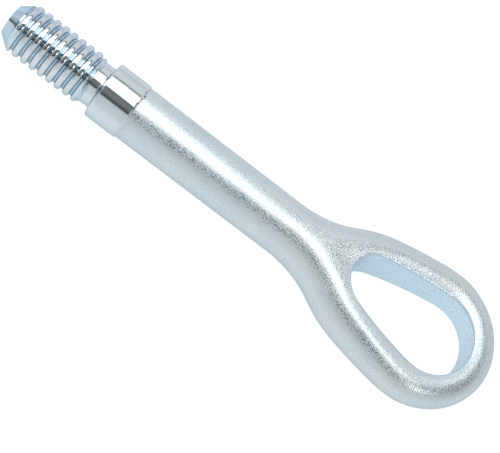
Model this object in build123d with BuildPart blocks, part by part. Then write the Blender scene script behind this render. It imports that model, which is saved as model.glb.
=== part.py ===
"""A screw-in tow eye: a steel forging with a closed eye at one end and a coarse left-hand thread at the
other.

The X axis is the thread's axis, with the thread towards -X and the eye towards +X. The origin lies on that
axis, in the plane of the collar's shoulder. The eye lies level, so its hole runs along Z. All sizes are in
millimetres.
"""

from build123d import *

import os
from math import asin, atan2, cos, degrees, pi, radians, sin, sqrt, tan

# thread, left-hand, wound from a point ahead of the tip: its form is given in shares of the pitch
thread_d = 18.0
thread_pitch = 3.3
depth_share = 0.37
crest_share = 0.44
crest_round_share = 0.3
flank_angle = 30.0
winding_lead = 4.7
screw_length = 36.0
tip_d = 10.7
tip_angle = 38.0
runout_angle = 40.0

# plain neck between the thread and the shoulder, turned a little below the thread's root
neck_length = 4.0
neck_relief = 0.25

# turned collar: how far it stands out past the thread, and its rounds as shares of the shoulder's height
collar_rise = 1.1
collar_length = 13.1
collar_back_run = 1.3
neck_fillet_share = 0.43
collar_round_share = 0.35

# shank as forged: how much thinner it is than the collar, and how much it tapers towards the eye
shank_step = 0.9
shank_taper = 0.3

# eye: the line along the middle of the bar is made of arcs that run into each other
nose_x = 129.9
nose_r = 18.1
leg_r = 146.0
leg_angle_nose = 100.5
leg_angle_shoulder = 108.5
shoulder_r = 38.5
crotch_r = 41.0

# eye: half the bar's thickness at the nose, the length over which the bar thins to it, and the share of the
# crotch over which it keeps the shank's height, so that it lies on both legs
nose_bar_r = 6.6
thinning_length = 75.0
height_hold = 0.7

# eye: the pierced hole, inside the bar's middle line, set towards the nose and with straighter legs
wall_offset = 4.05
hole_shift = 1.45
hole_lean = 5.0
apex_r = 9.5
hole_edge_round = 1.0

# eye: how far the web reaches in from the bar's middle, how far the legs fall towards the hole, and over
# what length, from a place along the crotch
web_reach = 10.6
leg_fall = 4.0
leg_fall_length = 30.0
leg_fall_start = 0.5

# how the forged skin is laid: wrap of the round past the bar's crown, and sections along each arc
crown_angle = 20.0
past_middle = 1.0
section_spacing = 5.5

# worked out from the sizes above
thread_depth = depth_share * thread_pitch
crest_half_width = crest_share * thread_pitch / 2
root_r = thread_d / 2 - thread_depth
ridge_sink = thread_depth / 10
sunk_half_width = crest_half_width + (thread_depth + ridge_sink) * tan(radians(flank_angle))
screw_end_x = -screw_length
neck_r = root_r - neck_relief
relief_x = neck_relief - neck_length
collar_d = thread_d + 2 * collar_rise
shoulder_height = collar_d / 2 - neck_r
neck_fillet = neck_fillet_share * shoulder_height
collar_front_round = collar_round_share * shoulder_height
shank_d_collar = collar_d - shank_step
shank_d = shank_d_collar - shank_taper
clear_r = collar_d / 2
helix_start_x = screw_end_x - winding_lead
helix_end_x = -neck_length / 2
tip_run = (clear_r - tip_d / 2) / tan(radians(tip_angle))
runout_run = (clear_r - root_r) / tan(radians(runout_angle))
runout_low_r = root_r - 2 * ridge_sink
runout_low_run = (root_r - runout_low_r) / tan(radians(runout_angle))


def on_circle(middle, radius, angle):
    """The point at an angle in degrees on a circle in the level plane."""
    return Vector(middle.X + radius * cos(radians(angle)), middle.Y + radius * sin(radians(angle)))


def eased(share):
    """A smooth step from 0 to 1, level at both ends."""
    share = min(max(share, 0), 1)
    return (1 - cos(pi * share)) / 2


# middles of the arcs of the bar's middle line
nose_mid = Vector(nose_x, 0)
leg_mid = on_circle(nose_mid, nose_r - leg_r, leg_angle_nose)
shoulder_mid = on_circle(leg_mid, leg_r - shoulder_r, leg_angle_shoulder)
crotch_run = sqrt((crotch_r + shoulder_r) ** 2 - (crotch_r - shoulder_mid.Y) ** 2)
crotch_mid = Vector(shoulder_mid.X - crotch_run, crotch_r)
crotch_angle = degrees(atan2(shoulder_mid.Y - crotch_mid.Y, crotch_run))
shoulder_angle = crotch_angle + 180
shank_start_x = collar_length / 2

# middle line of the bar on the +Y side, from inside the collar to the end of the eye
with BuildLine() as bar_line:
    shank_line = Line((shank_start_x, 0), (crotch_mid.X, 0))
    crotch_arc = CenterArc(crotch_mid, crotch_r, -90, crotch_angle + 90)
    shoulder_arc = CenterArc(shoulder_mid, shoulder_r, shoulder_angle, leg_angle_shoulder - shoulder_angle)
    leg_arc = CenterArc(leg_mid, leg_r, leg_angle_shoulder, leg_angle_nose - leg_angle_shoulder)
    nose_arc = CenterArc(nose_mid, nose_r, leg_angle_nose, -leg_angle_nose)

# stations along that line, each with the length run since the crotch began
stations = []
run = -shank_line.length
for line in (shank_line, crotch_arc, shoulder_arc, leg_arc, nose_arc):
    count = round(line.length / section_spacing)
    for step in range(count):
        stations.append((line @ (step / count), line % (step / count), run + line.length * step / count))
    run += line.length
stations.append((nose_arc @ 1, nose_arc % 1, run))

# middles of the arcs of the hole's outline: a nose, long legs that run into it, and a round at the apex
wall_nose_r = nose_r - wall_offset
wall_leg_r = leg_r - wall_offset
wall_angle = leg_angle_nose - hole_lean
wall_nose_mid = Vector(nose_x + hole_shift, 0)
wall_leg_mid = on_circle(wall_nose_mid, wall_nose_r - wall_leg_r, wall_angle)
apex_mid = Vector(wall_leg_mid.X - sqrt((wall_leg_r - apex_r) ** 2 - wall_leg_mid.Y**2), 0)
apex_angle = degrees(atan2(-wall_leg_mid.Y, apex_mid.X - wall_leg_mid.X))

# forged half on the +Y side: shank, leg, and web to the middle, pierced, with the hole's edges rounded
with BuildPart() as forging:
    held_run = height_hold * crotch_arc.length
    for place, along, run in stations:
        if run < 0:
            bar_r = shank_d / 2 - shank_taper / 2 * run / shank_line.length
            bar_height = bar_r
        else:
            height_share = (run - held_run) / (thinning_length - held_run)
            bar_r = shank_d / 2 + (nose_bar_r - shank_d / 2) * eased(run / thinning_length)
            bar_height = shank_d / 2 + (nose_bar_r - shank_d / 2) * eased(height_share)
        to_middle = place.Y / along.X if along.X > tan(radians(crown_angle)) else web_reach
        flatness = eased(to_middle / bar_r)
        end_turn = (1 - flatness) * asin(past_middle / bar_r)
        reach = min(to_middle, web_reach) + past_middle
        fall = leg_fall * eased((run - leg_fall_start * crotch_arc.length) / leg_fall_length)
        end_z = bar_height * (1 - (1 - flatness) * (1 - cos(asin(past_middle / bar_r)))) - fall
        crown = Vector(bar_r * sin(radians(crown_angle)), bar_height * cos(radians(crown_angle)))
        arc_mid = (bar_r**2 - crown.X**2 - crown.Y**2) / (bar_r - crown.X) / 2
        inner = Vector(-reach, end_z)
        handle = (crown - inner).length / 3
        crown_handle = crown + Vector(-crown.Y, crown.X - arc_mid).normalized() * handle
        inner_handle = inner + Vector(cos(end_turn), sin(end_turn)) * handle
        outward = Vector(-along.Y, along.X)
        with BuildSketch(Plane(origin=place, x_dir=outward, z_dir=along)):
            with BuildLine():
                top = Bezier(inner, inner_handle, crown_handle, crown)
                ThreePointArc(crown, (bar_r, 0), (crown.X, -crown.Y))
                bottom = Bezier(
                    (crown.X, -crown.Y),
                    (crown_handle.X, -crown_handle.Y),
                    (inner_handle.X, -inner_handle.Y),
                    (inner.X, -inner.Y),
                )
                Line(bottom @ 1, top @ 0)
            make_face()
    loft()
    split(bisect_by=Plane.XZ, keep=Keep.BOTTOM)
    with BuildSketch():
        with BuildLine():
            apex = CenterArc(apex_mid, apex_r, apex_angle, 180 - apex_angle)
            CenterArc(wall_leg_mid, wall_leg_r, wall_angle, apex_angle - wall_angle)
            nose = CenterArc(wall_nose_mid, wall_nose_r, 0, wall_angle)
            Line(apex @ 1, nose @ 0)
        make_face()
    extrude(amount=collar_d, both=True, mode=Mode.SUBTRACT)
    hole_edges = forging.faces().filter_by(GeomType.CYLINDER).edges().filter_by(GeomType.LINE, reverse=True)
    fillet(hole_edges, radius=hole_edge_round)
    mirror(about=Plane.XZ)

# thread ridge, wound left-hand and turned off towards the neck
with BuildPart() as ridge:
    with BuildLine() as winding:
        Helix(
            pitch=thread_pitch,
            height=helix_end_x - helix_start_x,
            radius=root_r,
            center=(helix_start_x, 0, 0),
            direction=(1, 0, 0),
            lefthand=True,
        )
    ridge_start = winding.line @ 0
    outward = (ridge_start - Vector(helix_start_x, 0, 0)).normalized()
    with BuildSketch(Plane(ridge_start, x_dir=(1, 0, 0), z_dir=Vector(1, 0, 0).cross(outward))) as tooth:
        Polygon(
            (-sunk_half_width, -ridge_sink),
            (sunk_half_width, -ridge_sink),
            (crest_half_width, thread_depth),
            (-crest_half_width, thread_depth),
            align=None,
        )
        fillet(tooth.vertices().sort_by(Axis.Y)[-2:], radius=crest_round_share * thread_pitch)
    sweep(path=winding.line, is_frenet=True)
    with BuildSketch():
        Polygon(
            (-neck_length - runout_run, clear_r),
            (-neck_length + runout_low_run, runout_low_r),
            (-neck_length + runout_low_run, 0),
            (thread_pitch, 0),
            (thread_pitch, clear_r),
            align=None,
        )
    revolve(axis=Axis.X, mode=Mode.SUBTRACT)

# whole piece: thread root, neck and collar turned from one profile, then ridge, tapered tip and forging
with BuildPart() as tow_eye:
    with BuildSketch() as turned:
        with BuildLine():
            Polyline(
                (helix_start_x - thread_pitch, 0),
                (helix_start_x - thread_pitch, root_r),
                (relief_x, root_r),
                (relief_x + neck_relief, neck_r),
                (0, neck_r),
                (0, collar_d / 2),
                (collar_length - collar_back_run, collar_d / 2),
                (collar_length, collar_d / 2 - shank_step),
                (collar_length, 0),
                close=True,
            )
        make_face()
        neck_corner = turned.vertices().filter_by_position(Axis.X, 0, 0).sort_by(Axis.Y)[0]
        fillet(neck_corner, radius=neck_fillet)
        collar_corner = turned.vertices().filter_by_position(Axis.X, 0, 0).sort_by(Axis.Y)[-1]
        fillet(collar_corner, radius=collar_front_round)
    revolve(axis=Axis.X)
    add(ridge.part)
    with BuildSketch():
        Polygon(
            (screw_end_x, 0),
            (screw_end_x, tip_d / 2),
            (screw_end_x + tip_run, clear_r),
            (helix_start_x - 2 * thread_pitch, clear_r),
            (helix_start_x - 2 * thread_pitch, 0),
            align=None,
        )
    revolve(axis=Axis.X, mode=Mode.SUBTRACT)
    add(forging.part)

tow_eye.part.label = "tow_eye"
os.makedirs("parts", exist_ok=True)
export_step(tow_eye.part, "parts/tow_eye.step")
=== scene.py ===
"""Looks of a screw-in tow eye: bright zinc plate over a turned screw and collar and a blasted forging.

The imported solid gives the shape. This script puts a merged copy of it in a white light tent, with a finish
that is smooth and ringed where the piece was turned, and fine-grained where it was forged and blasted. Sizes
of the finish are in millimetres and those of the studio are in metres, both in the frame of the solid.
"""

import logging
import math
from dataclasses import dataclass
from enum import Enum
from functools import reduce

import bpy
from mathutils import Matrix, Vector


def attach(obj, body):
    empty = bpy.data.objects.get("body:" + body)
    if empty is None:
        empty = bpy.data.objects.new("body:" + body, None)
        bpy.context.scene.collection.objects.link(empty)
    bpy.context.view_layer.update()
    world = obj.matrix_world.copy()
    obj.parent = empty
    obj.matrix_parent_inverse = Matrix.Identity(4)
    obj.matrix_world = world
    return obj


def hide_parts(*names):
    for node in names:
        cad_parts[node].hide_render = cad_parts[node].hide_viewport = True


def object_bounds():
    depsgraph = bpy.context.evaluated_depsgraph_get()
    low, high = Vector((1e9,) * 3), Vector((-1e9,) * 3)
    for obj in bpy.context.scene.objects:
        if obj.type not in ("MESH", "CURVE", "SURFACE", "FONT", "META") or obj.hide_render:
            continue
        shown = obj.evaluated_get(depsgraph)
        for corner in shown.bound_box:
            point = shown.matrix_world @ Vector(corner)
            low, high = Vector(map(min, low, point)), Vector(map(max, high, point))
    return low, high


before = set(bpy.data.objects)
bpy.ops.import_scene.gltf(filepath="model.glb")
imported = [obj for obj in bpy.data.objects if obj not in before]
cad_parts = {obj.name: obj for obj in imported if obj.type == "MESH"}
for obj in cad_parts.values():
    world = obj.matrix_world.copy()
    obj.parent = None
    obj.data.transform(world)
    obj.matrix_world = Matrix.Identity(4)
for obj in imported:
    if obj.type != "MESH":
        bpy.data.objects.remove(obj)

CAD_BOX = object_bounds()
BODY = "root"
MM_PER_M = 1000.0
HALF_TURN_DEG = 180.0
NOISE_MIDDLE = 0.5

Colour = tuple[float, float, float]
Point = tuple[float, float, float]
Operand = bpy.types.NodeSocket | float | tuple[float, ...]

WHITE: Colour = (1.0, 1.0, 1.0)

log = logging.getLogger("tow_eye")


class Socket(Enum):
    """Kinds of socket on a node group."""

    VALUE = "NodeSocketFloat"
    VECTOR = "NodeSocketVector"


def opaque(colour: Colour) -> tuple[float, float, float, float]:
    """Gives a colour with full alpha."""
    return (*colour, 1.0)


def grey(level: float) -> Colour:
    """Gives a colour without a hue."""
    return (level, level, level)


@dataclass(frozen=True)
class Patches:
    """Soft patches of noise: its grains per unit and its layers, and the span of it where they come in."""

    scale: float
    detail: float
    low: float
    high: float
    roughness: float = 0.5


class Graph:
    """A node tree in the making, with short calls to add and join its nodes."""

    def __init__(self, tree: bpy.types.NodeTree) -> None:
        """Starts from an empty tree.

        Args:
            tree: The tree to fill. Its present nodes are removed.
        """
        self.tree = tree
        tree.nodes.clear()

    def feed(self, node: bpy.types.Node, values: dict[int | str, Operand]) -> None:
        """Fills inputs of a node.

        Args:
            node: The node.
            values: What goes in, by the input's name or place: another node's output, or a plain value.
        """
        for key, value in values.items():
            if isinstance(value, bpy.types.NodeSocket):
                self.tree.links.new(value, node.inputs[key])
            else:
                node.inputs[key].default_value = value

    def add(
        self, kind: str, values: dict[int | str, Operand] | None = None, **settings: object
    ) -> bpy.types.Node:
        """Adds one node.

        Args:
            kind: The node's type name.
            values: What goes into its inputs, as feed takes it.
            settings: The node's own properties.

        Returns:
            The new node.
        """
        node = self.tree.nodes.new(kind)
        for name, value in settings.items():
            setattr(node, name, value)
        self.feed(node, values or {})
        return node

    def math(self, operation: str, *operands: Operand) -> bpy.types.NodeSocket:
        """Adds a Math node.

        Args:
            operation: What it works out.
            operands: What it works on, outputs or numbers.

        Returns:
            The node's result.
        """
        return self.add("ShaderNodeMath", dict(enumerate(operands)), operation=operation).outputs[0]

    def product(self, *factors: Operand) -> bpy.types.NodeSocket:
        """Multiplies values.

        Args:
            factors: Two or more outputs or numbers.

        Returns:
            Their product.
        """
        return reduce(lambda first, second: self.math("MULTIPLY", first, second), factors)

    def split(self, vector: Operand) -> bpy.types.NodeOutputs:
        """Splits a vector into outputs named X, Y and Z."""
        return self.add("ShaderNodeSeparateXYZ", {0: vector}).outputs

    def distance(self, first: Operand, second: Operand) -> bpy.types.NodeSocket:
        """Works out how far off a place is.

        Args:
            first: How far off it is one way.
            second: How far off it is at right angles to that.

        Returns:
            The distance.
        """
        offset = self.add("ShaderNodeCombineXYZ", {0: first, 1: second}).outputs[0]
        return self.add("ShaderNodeVectorMath", {0: offset}, operation="LENGTH").outputs["Value"]

    def span(
        self, value: Operand, low: float, high: float, start: float = 0.0, end: float = 1.0
    ) -> bpy.types.NodeSocket:
        """Maps a value smoothly from one span to another, held at both ends.

        Args:
            value: The value to map.
            low: Where the span starts.
            high: Where the span ends.
            start: What it gives at low.
            end: What it gives at high.

        Returns:
            The mapped value.
        """
        inputs = {"Value": value, "From Min": low, "From Max": high, "To Min": start, "To Max": end}
        return self.add("ShaderNodeMapRange", inputs, interpolation_type="SMOOTHSTEP").outputs["Result"]

    def blend(self, share: Operand, first: Operand, second: Operand) -> bpy.types.NodeSocket:
        """Blends two numbers.

        Args:
            share: How much of the second, from 0 to 1.
            first: The first number.
            second: The second number.

        Returns:
            The blended number.
        """
        return self.add("ShaderNodeMix", {0: share, 2: first, 3: second}, data_type="FLOAT").outputs[0]

    def tint(self, share: Operand, first: Operand, second: Operand) -> bpy.types.NodeSocket:
        """Blends two colours.

        Args:
            share: How much of the second, from 0 to 1.
            first: The first colour.
            second: The second colour.

        Returns:
            The blended colour.
        """
        return self.add("ShaderNodeMix", {0: share, 6: first, 7: second}, data_type="RGBA").outputs[2]

    def noise(
        self, place: Operand, scale: float, detail: float, roughness: float = 0.5
    ) -> bpy.types.NodeSocket:
        """Adds a noise that changes over the surface.

        Args:
            place: The place on the surface.
            scale: How many grains there are in a unit of length.
            detail: How many finer layers it has.
            roughness: How strong the finer layers are.

        Returns:
            The noise, around its middle.
        """
        inputs = {"Vector": place, "Scale": scale, "Detail": detail, "Roughness": roughness}
        return self.add("ShaderNodeTexNoise", inputs).outputs["Fac"]

    def patches(self, place: Operand, kind: Patches) -> bpy.types.NodeSocket:
        """Marks soft patches on the surface.

        Args:
            place: The place on the surface.
            kind: What the patches are like.

        Returns:
            The mark, from 0 beside the patches to 1 on them.
        """
        return self.span(self.noise(place, kind.scale, kind.detail, kind.roughness), kind.low, kind.high)

    def finish(self, values: dict[str, Operand]) -> None:
        """Ends a material in its shader.

        Args:
            values: What goes into the shader's inputs.
        """
        shader = self.add("ShaderNodeBsdfPrincipled", values)
        self.add("ShaderNodeOutputMaterial", {"Surface": shader.outputs["BSDF"]})


def new_material(name: str) -> tuple[bpy.types.Material, Graph]:
    """Makes a material.

    Args:
        name: The material's name.

    Returns:
        The material and its empty graph.
    """
    made = bpy.data.materials.new(name)
    made.use_nodes = True
    return made, Graph(made.node_tree)


def new_group(name: str, *outputs: str) -> tuple[Graph, bpy.types.NodeSocket, bpy.types.Node]:
    """Makes a shader node group that reads the place on the piece, in millimetres.

    Args:
        name: The group's name.
        outputs: Names of the values that it gives.

    Returns:
        The group's graph, the place that it reads and its output node.
    """
    tree = bpy.data.node_groups.new(name, "ShaderNodeTree")
    tree.interface.new_socket("Place", in_out="INPUT", socket_type=Socket.VECTOR.value)
    for label in outputs:
        tree.interface.new_socket(label, in_out="OUTPUT", socket_type=Socket.VALUE.value)
    graph = Graph(tree)
    return graph, graph.add("NodeGroupInput").outputs["Place"], graph.add("NodeGroupOutput")


@dataclass(frozen=True)
class TurnedFinish:
    """Plate over turned steel: near to a mirror, with fine rings round the axis, duller where smudged."""

    roughness: float = 0.1
    smudge_roughness: float = 0.06
    rings_per_mm: float = 5.0
    ring_detail: float = 1.0
    ring_height: float = 0.05


@dataclass(frozen=True)
class BlastedFinish:
    """Plate over forged and blasted steel: fine dents that scatter light, with smoother flats between."""

    flat_roughness: float = 0.19
    dent_roughness: float = 0.56
    dent_low: float = 0.42
    dent_high: float = 0.62
    grains_per_mm: float = 2.5
    grain_detail: float = 1.5
    grain_roughness: float = 0.6
    dents_per_mm: float = 0.45
    dent_detail: float = 1.0
    dent_share: float = 0.25


@dataclass(frozen=True)
class RunOut:
    """The ragged line where turning ran out: its place, waver and lean, and a painted dark line along its
    top, a painted reflection of the step.
    """

    end_mm: float = 12.2
    edge_mm: float = 0.12
    waver_mm: float = 2.6
    waver_per_mm: float = 0.7
    waver_detail: float = 2.0
    lean: float = 0.05
    step: float = 0.7
    dark_line_width_mm: float = 0.36
    dark_line_low_mm: float = 6.4
    dark_line_high_mm: float = 8.2
    dark_line_breaks: Patches = Patches(scale=0.9, detail=1.0, low=0.36, high=0.5)
    painted_dark_line_share: float = 0.85


@dataclass(frozen=True)
class ScrewPlate:
    """Plate on the screw, as far as the thread: painted shade in the grooves, darker and bluer, and a lilac
    film on one side.
    """

    root_r_mm: float = 7.78
    crest_r_mm: float = 9.0
    fade_mm: float = -4.5
    end_mm: float = -3.5
    groove_shade_share: float = 0.75
    film_start_mm: float = -1.0
    film_full_mm: float = 7.0
    film_share: float = 0.7


@dataclass(frozen=True)
class PiercedWall:
    """Where the wall of the pierced hole lies: two rounds, the bulge of the sides between, and the rim."""

    apex_mm: float = 107.07
    nose_mm: float = 131.35
    apex_r_mm: float = 9.5
    nose_r_mm: float = 14.05
    bulge_mm: float = 0.76
    rim_start_mm: float = 0.5
    rim_end_mm: float = 1.0


@dataclass(frozen=True)
class PlateColour:
    """Colours of bright zinc with a blue cast, of the marks on it, and of the painted shade in the thread's
    grooves and the painted dark line at the run-out.
    """

    blue: Colour = (0.52, 0.61, 0.66)
    grey: Colour = (0.56, 0.62, 0.645)
    smudge: Colour = (0.45, 0.52, 0.54)
    # painted shade: darkens the thread's grooves and makes them bluer
    painted_groove_shade: Colour = (0.37, 0.52, 0.63)
    # painted reflection: the dark line along the top of the run-out step
    scale: Colour = (0.12, 0.125, 0.13)
    pierced: Colour = (0.555, 0.69, 0.775)
    lilac: Colour = (0.52, 0.56, 0.68)
    edge: Colour = (0.62, 0.69, 0.74)


@dataclass(frozen=True)
class ZincPlate:
    """The plating, as one material whose finish changes where turning ends and forging begins."""

    turned: TurnedFinish = TurnedFinish()
    blasted: BlastedFinish = BlastedFinish()
    run_out: RunOut = RunOut()
    screw: ScrewPlate = ScrewPlate()
    wall: PiercedWall = PiercedWall()
    colour: PlateColour = PlateColour()
    bloom: Patches = Patches(scale=0.06, detail=2.0, low=0.35, high=0.65)
    smudge: Patches = Patches(scale=0.11, detail=4.0, low=0.56, high=0.74, roughness=0.6)
    smudge_share: float = 0.35
    relief_m: float = 0.00011

    def turned_zone(self) -> bpy.types.NodeTree:
        """Makes the group that marks the turned end, with an edge that wavers as the tool ran out.

        Returns:
            The group, which gives 1 on turned metal and 0 on forged metal, and the painted dark line,
            broken, between them.
        """
        graph, place, out = new_group("turned_zone", "Turned", "PaintedDarkLine")
        line = self.run_out
        parts = graph.split(place)
        leaning = graph.math("SUBTRACT", parts["X"], graph.product(parts["Y"], line.lean))
        noise = graph.noise(place, line.waver_per_mm, line.waver_detail)
        waver = graph.math("SUBTRACT", noise, NOISE_MIDDLE)
        along = graph.math("ADD", leaning, graph.product(waver, line.waver_mm))
        off = graph.math("ABSOLUTE", graph.math("SUBTRACT", along, line.end_mm))
        # painted reflection: a dark line along the edge, broken into patches and laid only on the top
        scale = graph.span(off, line.edge_mm, line.dark_line_width_mm, 1.0, 0.0)
        broken = graph.patches(place, line.dark_line_breaks)
        on_top = graph.span(parts["Z"], line.dark_line_low_mm, line.dark_line_high_mm)
        marks = {
            "Turned": graph.span(along, line.end_mm - line.edge_mm, line.end_mm + line.edge_mm, 1.0, 0.0),
            "PaintedDarkLine": graph.product(scale, broken, on_top),
        }
        graph.feed(out, marks)
        return graph.tree

    def blast_grain(self) -> bpy.types.NodeTree:
        """Makes the group of the blasted skin.

        Returns:
            The group, which gives the grain's height and how rough it is.
        """
        graph, place, out = new_group("blast_grain", "Height", "Roughness")
        skin = self.blasted
        grain = graph.noise(place, skin.grains_per_mm, skin.grain_detail, skin.grain_roughness)
        dents = graph.noise(place, skin.dents_per_mm, skin.dent_detail)
        rough = graph.span(grain, skin.dent_low, skin.dent_high, skin.dent_roughness, skin.flat_roughness)
        graph.feed(out, {"Height": graph.blend(skin.dent_share, grain, dents), "Roughness": rough})
        return graph.tree

    def turning_rings(self) -> bpy.types.NodeTree:
        """Makes the group of the rings that turning leaves.

        Returns:
            The group, which gives the rings' height.
        """
        graph, place, out = new_group("turning_rings", "Height")
        along = graph.split(place)["X"]
        inputs = {"W": along, "Scale": self.turned.rings_per_mm, "Detail": self.turned.ring_detail}
        rings = graph.add("ShaderNodeTexNoise", inputs, noise_dimensions="1D").outputs["Fac"]
        graph.feed(out, {"Height": graph.product(rings, self.turned.ring_height)})
        return graph.tree

    def plate_marks(self) -> bpy.types.NodeTree:
        """Makes the group of what varies over the plating.

        Returns:
            The group, which gives the blue bloom, the handling smudges, the painted shade in the thread's
            grooves and the lilac film on one side of the screw.
        """
        graph, place, out = new_group("plate_marks", "Bloom", "Smudge", "PaintedGrooveShade", "Film")
        screw = self.screw
        parts = graph.split(place)
        radius = graph.distance(parts["Y"], parts["Z"])
        # painted shade: marks the thread's grooves by radius, full at the root and none at the crest
        deep = graph.span(radius, screw.root_r_mm, screw.crest_r_mm, 1.0, 0.0)
        on_screw = graph.span(parts["X"], screw.fade_mm, screw.end_mm, 1.0, 0.0)
        side = graph.span(parts["Y"], screw.film_start_mm, screw.film_full_mm)
        marks = {
            "Bloom": graph.patches(place, self.bloom),
            "Smudge": graph.patches(place, self.smudge),
            "PaintedGrooveShade": graph.product(deep, on_screw),
            "Film": graph.product(side, on_screw),
        }
        graph.feed(out, marks)
        return graph.tree

    def pierced_wall(self) -> bpy.types.NodeTree:
        """Makes the group that marks the wall of the pierced hole, whose plating is bluer.

        Returns:
            The group, which gives 1 on the wall and 0 outside the hole's rim.
        """
        graph, place, out = new_group("pierced_wall", "Wall")
        hole = self.wall
        parts = graph.split(place)
        reach = {"Value": parts["X"], "From Min": hole.apex_mm, "From Max": hole.nose_mm}
        share = graph.add("ShaderNodeMapRange", reach).outputs["Result"]
        past = graph.math("SUBTRACT", parts["X"], graph.blend(share, hole.apex_mm, hole.nose_mm))
        radius = graph.distance(past, parts["Y"])
        # a share times what is left of it is largest halfway, where it is a quarter and the bulge is full
        largest = 0.25
        between = graph.product(share, graph.math("SUBTRACT", 1.0, share))
        bulge = graph.product(between, hole.bulge_mm / largest)
        outline = graph.math("ADD", graph.blend(share, hole.apex_r_mm, hole.nose_r_mm), bulge)
        outside = graph.math("SUBTRACT", radius, outline)
        graph.feed(out, {"Wall": graph.span(outside, hole.rim_start_mm, hole.rim_end_mm, 1.0, 0.0)})
        return graph.tree

    def material(self) -> bpy.types.Material:
        """Builds the plating.

        Returns:
            The material.
        """
        made, graph = new_material("zinc_plate")
        metres = graph.add("ShaderNodeTexCoord").outputs["Object"]
        scaled = {0: metres, "Scale": MM_PER_M}
        place = graph.add("ShaderNodeVectorMath", scaled, operation="SCALE").outputs[0]

        def group(tree: bpy.types.NodeTree) -> bpy.types.NodeOutputs:
            """Places a node group that reads the place on the piece."""
            return graph.add("ShaderNodeGroup", {"Place": place}, node_tree=tree).outputs

        zone = group(self.turned_zone())
        grain = group(self.blast_grain())
        rings = group(self.turning_rings())
        marks = group(self.plate_marks())
        wall = group(self.pierced_wall())
        colour = graph.tint(marks["Bloom"], opaque(self.colour.grey), opaque(self.colour.blue))
        layers = (
            (marks["Film"], self.screw.film_share, self.colour.lilac),
            (marks["Smudge"], self.smudge_share, self.colour.smudge),
            # painted shade in the thread's grooves
            (marks["PaintedGrooveShade"], self.screw.groove_shade_share, self.colour.painted_groove_shade),
            (wall["Wall"], 1.0, self.colour.pierced),
            # painted reflection: the dark line along the top of the run-out step
            (zone["PaintedDarkLine"], self.run_out.painted_dark_line_share, self.colour.scale),
        )
        for mark, share, shade in layers:
            colour = graph.tint(graph.product(mark, share), colour, opaque(shade))
        finish = self.turned
        smooth = graph.math("MULTIPLY_ADD", marks["Smudge"], finish.smudge_roughness, finish.roughness)
        skin = graph.blend(zone["Turned"], grain["Height"], rings["Height"])
        height = graph.math("ADD", skin, graph.product(zone["Turned"], self.run_out.step))
        relief = {"Strength": 1.0, "Distance": self.relief_m, "Height": height}
        metal = {
            "Base Color": colour,
            "Metallic": 1.0,
            "Roughness": graph.blend(zone["Turned"], grain["Roughness"], smooth),
            "Normal": graph.add("ShaderNodeBump", relief).outputs["Normal"],
            "Specular Tint": opaque(self.colour.edge),
        }
        graph.finish(metal)
        return made


@dataclass(frozen=True)
class TowEye:
    """The plated piece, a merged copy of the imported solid."""

    node: str = "tow_eye"
    name: str = "plated_tow_eye"
    slot: str = "zinc_plated_steel"
    merge_distance: float = 0.000002
    smooth_angle_deg: float = 30.0
    plate: ZincPlate = ZincPlate()

    def model(self) -> bpy.types.Object:
        """Copies the solid, merges its loose triangles and smooths its curved faces.

        Returns:
            The piece.
        """
        bpy.ops.object.select_all(action="DESELECT")
        piece = bpy.data.objects.new(self.name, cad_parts[self.node].data.copy())
        bpy.context.scene.collection.objects.link(piece)
        piece.select_set(True)
        bpy.context.view_layer.objects.active = piece
        bpy.ops.mesh.customdata_custom_splitnormals_clear()
        bpy.ops.object.mode_set(mode="EDIT")
        bpy.ops.mesh.select_all(action="SELECT")
        bpy.ops.mesh.remove_doubles(threshold=self.merge_distance)
        bpy.ops.mesh.mark_sharp(clear=True)
        bpy.ops.object.mode_set(mode="OBJECT")
        bpy.ops.object.shade_smooth_by_angle(angle=math.radians(self.smooth_angle_deg))
        return piece

    def dress(self, piece: bpy.types.Object) -> None:
        """Gives the piece its plating and ties it to the frame.

        Args:
            piece: The modelled piece.
        """
        piece.data.materials.clear()
        piece.data.materials.append(self.plate.material())
        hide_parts(self.node)
        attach(piece, BODY)


@dataclass(frozen=True)
class LitPaper:
    """The floor's finish: pale paper with faint fibres and a glow that makes it nearly white."""

    pale: Colour = (0.18, 0.182, 0.185)
    fibre: Colour = (0.195, 0.198, 0.2)
    fibres_per_m: float = 40.0
    fibre_detail: float = 2.0
    roughness: float = 0.9
    specular: float = 0.1
    glow: float = 0.91

    def material(self) -> bpy.types.Material:
        """Builds the paper.

        Returns:
            The material.
        """
        made, graph = new_material("lit_paper")
        place = graph.add("ShaderNodeTexCoord").outputs["Object"]
        fibres = graph.noise(place, self.fibres_per_m, self.fibre_detail)
        sheet = {
            "Base Color": graph.tint(fibres, opaque(self.pale), opaque(self.fibre)),
            "Roughness": self.roughness,
            "Specular IOR Level": self.specular,
            "Emission Color": opaque(WHITE),
            "Emission Strength": self.glow,
        }
        graph.finish(sheet)
        return made


@dataclass(frozen=True)
class TentBand:
    """A stop in the light tent: an angle up from the near side over the top, and the light there."""

    angle_deg: float
    light: Colour


@dataclass(frozen=True)
class TentSlot:
    """A darker slot in the tent, or a lighter strip in one, with soft edges.

    It spans angles over the top, measured as a band's. Its ends are the X parts of the directions to them.
    """

    near_deg: float
    far_deg: float
    left: float
    right: float
    light: Colour
    edge_deg: float = 2.0
    soft: float = 0.16


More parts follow.
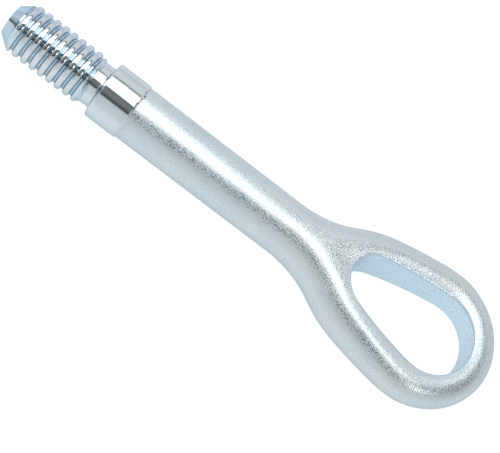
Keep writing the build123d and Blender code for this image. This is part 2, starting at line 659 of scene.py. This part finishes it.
@dataclass(frozen=True)
class LightTent:
    """The light tent round the piece: bands of light from its near side over the top, and slots in them."""

    bands: tuple[TentBand, ...] = (
        TentBand(0.0, grey(1.0)),
        TentBand(20.0, grey(0.92)),
        TentBand(38.0, grey(0.82)),
        TentBand(76.0, (0.74, 0.75, 0.76)),
        TentBand(80.0, grey(0.62)),
        TentBand(100.0, grey(0.62)),
        TentBand(104.0, (0.86, 0.87, 0.88)),
        TentBand(118.0, (0.86, 0.87, 0.88)),
        TentBand(121.0, grey(0.58)),
        TentBand(130.0, grey(0.58)),
        TentBand(134.0, (1.1, 1.05, 1.03)),
        TentBand(155.0, (1.03, 1.01, 1.01)),
        TentBand(180.0, (0.84, 0.85, 0.86)),
    )
    slots: tuple[TentSlot, ...] = (
        TentSlot(41.5, 78.0, left=-0.42, right=0.9, light=(0.125, 0.122, 0.12)),
        TentSlot(54.0, 74.0, left=-0.42, right=0.9, light=(0.28, 0.275, 0.27), edge_deg=6.0),
        TentSlot(84.0, 125.0, left=0.15, right=0.9, light=grey(0.14), edge_deg=4.0, soft=0.12),
        TentSlot(4.0, 60.0, left=-1.1, right=-0.7, light=grey(0.15), edge_deg=4.0, soft=0.12),
    )

    def hang(self) -> None:
        """Lights the world as the inside of the tent, and white where it is seen past the floor."""
        world = bpy.data.worlds.new("light_tent")
        bpy.context.scene.world = world
        world.use_nodes = True
        graph = Graph(world.node_tree)
        parts = graph.split(graph.add("ShaderNodeTexCoord").outputs["Generated"])
        angle = graph.math("ARCTAN2", parts["Z"], graph.product(parts["Y"], -1.0))
        degrees = graph.product(angle, math.degrees(1.0))
        ramp = graph.add("ShaderNodeValToRGB", {"Fac": graph.math("DIVIDE", degrees, HALF_TURN_DEG)})
        stops = ramp.color_ramp.elements
        while len(stops) < len(self.bands):
            stops.new(1.0)
        for stop, band in zip(stops, self.bands):
            stop.position = band.angle_deg / HALF_TURN_DEG
            stop.color = opaque(band.light)
        inside = ramp.outputs["Color"]
        for slot in self.slots:
            rise = graph.span(degrees, slot.near_deg - slot.edge_deg, slot.near_deg + slot.edge_deg)
            fall = graph.span(degrees, slot.far_deg + slot.edge_deg, slot.far_deg - slot.edge_deg)
            left = graph.span(parts["X"], slot.left - slot.soft, slot.left)
            right = graph.span(parts["X"], slot.right, slot.right - slot.soft)
            cover = graph.product(graph.product(rise, fall), graph.product(left, right))
            inside = graph.tint(cover, inside, opaque(slot.light))
        seen = graph.add("ShaderNodeLightPath").outputs["Is Camera Ray"]
        light = graph.tint(seen, inside, opaque(WHITE))
        background = graph.add("ShaderNodeBackground", {"Color": light, "Strength": 1.0})
        graph.add("ShaderNodeOutputWorld", {"Surface": background.outputs["Background"]})
        log.info("tent hung with %d bands and %d slots", len(self.bands), len(self.slots))


@dataclass(frozen=True)
class Softbox:
    """A flat, slightly warm lamp: where it hangs, its sides, its light, and where it points if not down."""

    name: str
    place: Point
    length: float
    width: float
    light: float
    aim: Point | None = None
    tint: Colour = (1.0, 0.97, 0.95)

    def hang(self) -> None:
        """Hangs the lamp and turns it to what it lights."""
        below = (self.place[0], self.place[1], 0.0)
        away = Vector(self.place) - Vector(self.aim or below)
        bpy.ops.object.light_add(type="AREA", location=self.place)
        lamp = bpy.context.active_object
        lamp.name = self.name
        lamp.rotation_euler = away.to_track_quat("Z", "Y").to_euler()
        lamp.data.shape = "RECTANGLE"
        lamp.data.size = self.length
        lamp.data.size_y = self.width
        lamp.data.energy = self.light * math.pi * self.length * self.width
        lamp.data.color = self.tint
        log.info("%s hung at %s", self.name, self.place)


@dataclass(frozen=True)
class PhotoCamera:
    """The camera, where the photograph was taken from."""

    aim: Point = (0.06394, -0.00567, -0.00298)
    distance: float = 0.4814
    azimuth_deg: float = -8.06
    elevation_deg: float = 62.08
    roll_deg: float = 44.44
    lens_mm: float = 108.0
    sensor_mm: float = 36.0
    clip_start: float = 0.01

    def place(self) -> None:
        """Sets the camera up and makes it the scene's own."""
        azimuth, elevation = math.radians(self.azimuth_deg), math.radians(self.elevation_deg)
        level = math.cos(elevation)
        back = Vector((math.sin(azimuth) * level, -math.cos(azimuth) * level, math.sin(elevation)))
        right = Vector((0.0, 0.0, 1.0)).cross(back).normalized()
        upright = Matrix((right, back.cross(right), back)).transposed()
        turn = upright @ Matrix.Rotation(math.radians(self.roll_deg), 3, "Z")
        bpy.ops.object.camera_add(location=Vector(self.aim) + back * self.distance)
        camera = bpy.context.active_object
        camera.name = "photo_camera"
        camera.rotation_euler = turn.to_euler()
        camera.data.sensor_fit = "HORIZONTAL"
        camera.data.sensor_width = self.sensor_mm
        camera.data.lens = self.lens_mm
        camera.data.clip_start = self.clip_start
        bpy.context.scene.camera = camera
        log.info("camera set at %s", tuple(round(value, 3) for value in camera.location))


@dataclass(frozen=True)
class Studio:
    """A lit paper floor, the light tent, its lamps and the camera."""

    floor_size: float = 6.0
    paper: LitPaper = LitPaper()
    tent: LightTent = LightTent()
    softboxes: tuple[Softbox, ...] = (
        Softbox("shank_softbox", (-0.2125, 0.0335, 0.2), length=0.575, width=0.147, light=2.6),
        Softbox("eye_softbox", (0.139, 0.0, 0.2), length=0.128, width=0.08, light=3.4),
        Softbox(
            "side_lamp", (0.3, -0.15, 0.23), length=0.06, width=0.06, light=9.0, aim=(0.137, -0.02, 0.006)
        ),
        Softbox("leg_softbox", (0.1535, 0.0415, 0.1), length=0.02, width=0.017, light=4.8),
    )
    camera: PhotoCamera = PhotoCamera()

    def lay_floor(self) -> None:
        """Lays the floor under the piece."""
        level = CAD_BOX[0][2]
        bpy.ops.object.select_all(action="DESELECT")
        bpy.ops.mesh.primitive_plane_add(size=self.floor_size, location=(0.0, 0.0, level))
        floor = bpy.context.active_object
        floor.name = "floor"
        bpy.ops.object.transform_apply(location=True)
        floor.data.materials.append(self.paper.material())
        log.info("floor laid at z = %.4f m", level)

    def build(self) -> None:
        """Builds the whole studio."""
        bpy.context.scene.view_settings.view_transform = "Standard"
        self.lay_floor()
        self.tent.hang()
        for softbox in self.softboxes:
            softbox.hang()
        self.camera.place()


def main() -> None:
    """Builds the tow eye and its studio, in order."""
    logging.basicConfig(level=logging.INFO, format="%(name)s: %(message)s")
    eye = TowEye()
    piece = eye.model()
    eye.dress(piece)
    log.info("%s: %d vertices, %d faces", piece.name, len(piece.data.vertices), len(piece.data.polygons))
    Studio().build()


if __name__ == "__main__":
    main()
